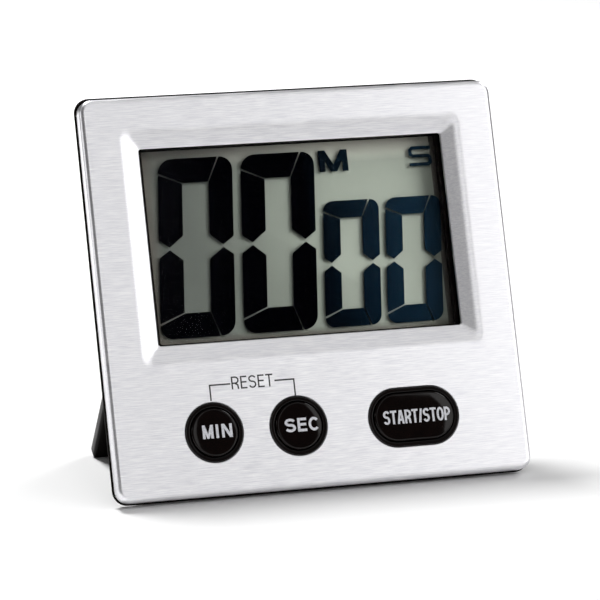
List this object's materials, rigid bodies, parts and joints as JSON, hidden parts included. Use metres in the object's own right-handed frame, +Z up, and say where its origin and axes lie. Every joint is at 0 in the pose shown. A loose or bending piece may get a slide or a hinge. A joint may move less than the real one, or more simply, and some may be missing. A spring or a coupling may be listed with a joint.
{
  "type": "digital kitchen timer",
  "caption": "Rectangular countdown timer with a steel front panel, large digit display, push keys below it, a magnetic back and a fold-out stand.",
  "frame": {"origin": "on the table, under the middle of the timer's box as it stands on its open stand", "axes": "+X to the right across the front panel, +Y from the front panel towards the stand, +Z up"},
  "size_m": [0.0804, 0.0398, 0.0711],
  "materials": {
    "steel": "fine horizontal brushing",
    "black_housing": "moulded satin",
    "black_keys": "gloss with printed white legends",
    "clear_lens": "clear acrylic",
    "polariser_film": "satin film",
    "lcd_glass": "clear",
    "lcd_reflector": "grey-green satin film",
    "grey_elastomer": "striped silicone",
    "dome_rubber": "satin silicone",
    "circuit_board": "solder mask",
    "epoxy": "gloss",
    "component_ceramic": "satin",
    "bright_metal": "tinned",
    "screw_steel": "zinc plated",
    "cell_steel": "nickel plated",
    "buzzer_brass": "satin",
    "ferrite": "ground",
    "red_wire": "satin insulation",
    "black_wire": "satin insulation"
  },
  "bodies": {
    "case": {"steel_fascia": "steel", "front_housing": "black_housing", "rear_case": "black_housing", "display_lens": "clear_lens", "lcd_front_polariser": "polariser_film", "lcd_front_glass": "lcd_glass", "lcd_rear_glass": "lcd_glass", "lcd_reflector": "lcd_reflector", "lcd_retainer": "black_housing", "zebra_strip": "grey_elastomer", "min_dome": "dome_rubber", "sec_dome": "dome_rubber", "start_stop_dome": "dome_rubber", "circuit_board": "circuit_board", "chip_blob": "epoxy", "crystal": "bright_metal", "capacitor_left": "component_ceramic", "capacitor_right": "component_ceramic", "board_screw_left": "screw_steel", "board_screw_right": "screw_steel", "buzzer_plate": "buzzer_brass", "buzzer_ceramic": "component_ceramic", "buzzer_wire_red": "red_wire", "buzzer_wire_black": "black_wire", "coin_cell": "cell_steel", "negative_contact": "bright_metal", "positive_contact": "bright_metal", "battery_wire_black": "black_wire", "battery_wire_red": "red_wire", "magnet_left": "ferrite", "magnet_right": "ferrite", "case_screw_1": "screw_steel", "case_screw_2": "screw_steel", "case_screw_3": "screw_steel", "case_screw_4": "screw_steel"},
    "min_key": {"min_key": "black_keys"},
    "sec_key": {"sec_key": "black_keys"},
    "start_stop_key": {"start_stop_key": "black_keys"},
    "battery_door": {"battery_door": "black_housing"},
    "stand": {"stand": "black_housing"}
  },
  "joints": [
    {"name": "min_press", "type": "slide", "parent": "case", "child": "min_key", "axis": [0, 0.9373, -0.3486], "range_m": [0, 0.0008], "stiffness_N_per_m": 1500, "deforming": ["min_dome"]},
    {"name": "sec_press", "type": "slide", "parent": "case", "child": "sec_key", "axis": [0, 0.9373, -0.3486], "range_m": [0, 0.0008], "stiffness_N_per_m": 1500, "deforming": ["sec_dome"]},
    {"name": "start_stop_press", "type": "slide", "parent": "case", "child": "start_stop_key", "axis": [0, 0.9373, -0.3486], "range_m": [0, 0.0008], "stiffness_N_per_m": 1500, "deforming": ["start_stop_dome"]},
    {"name": "battery_door_turn", "type": "hinge", "parent": "case", "child": "battery_door", "pos_m": [0, 0.01092, 0.04526], "axis": [0, 0.9373, -0.3486], "range_deg": [0, 40]},
    {"name": "stand_fold", "type": "hinge", "parent": "case", "child": "stand", "pos_m": [0, 0.00266, 0.02678], "axis": [1, 0, 0], "range_deg": [-52.4, 0]}
  ]
}
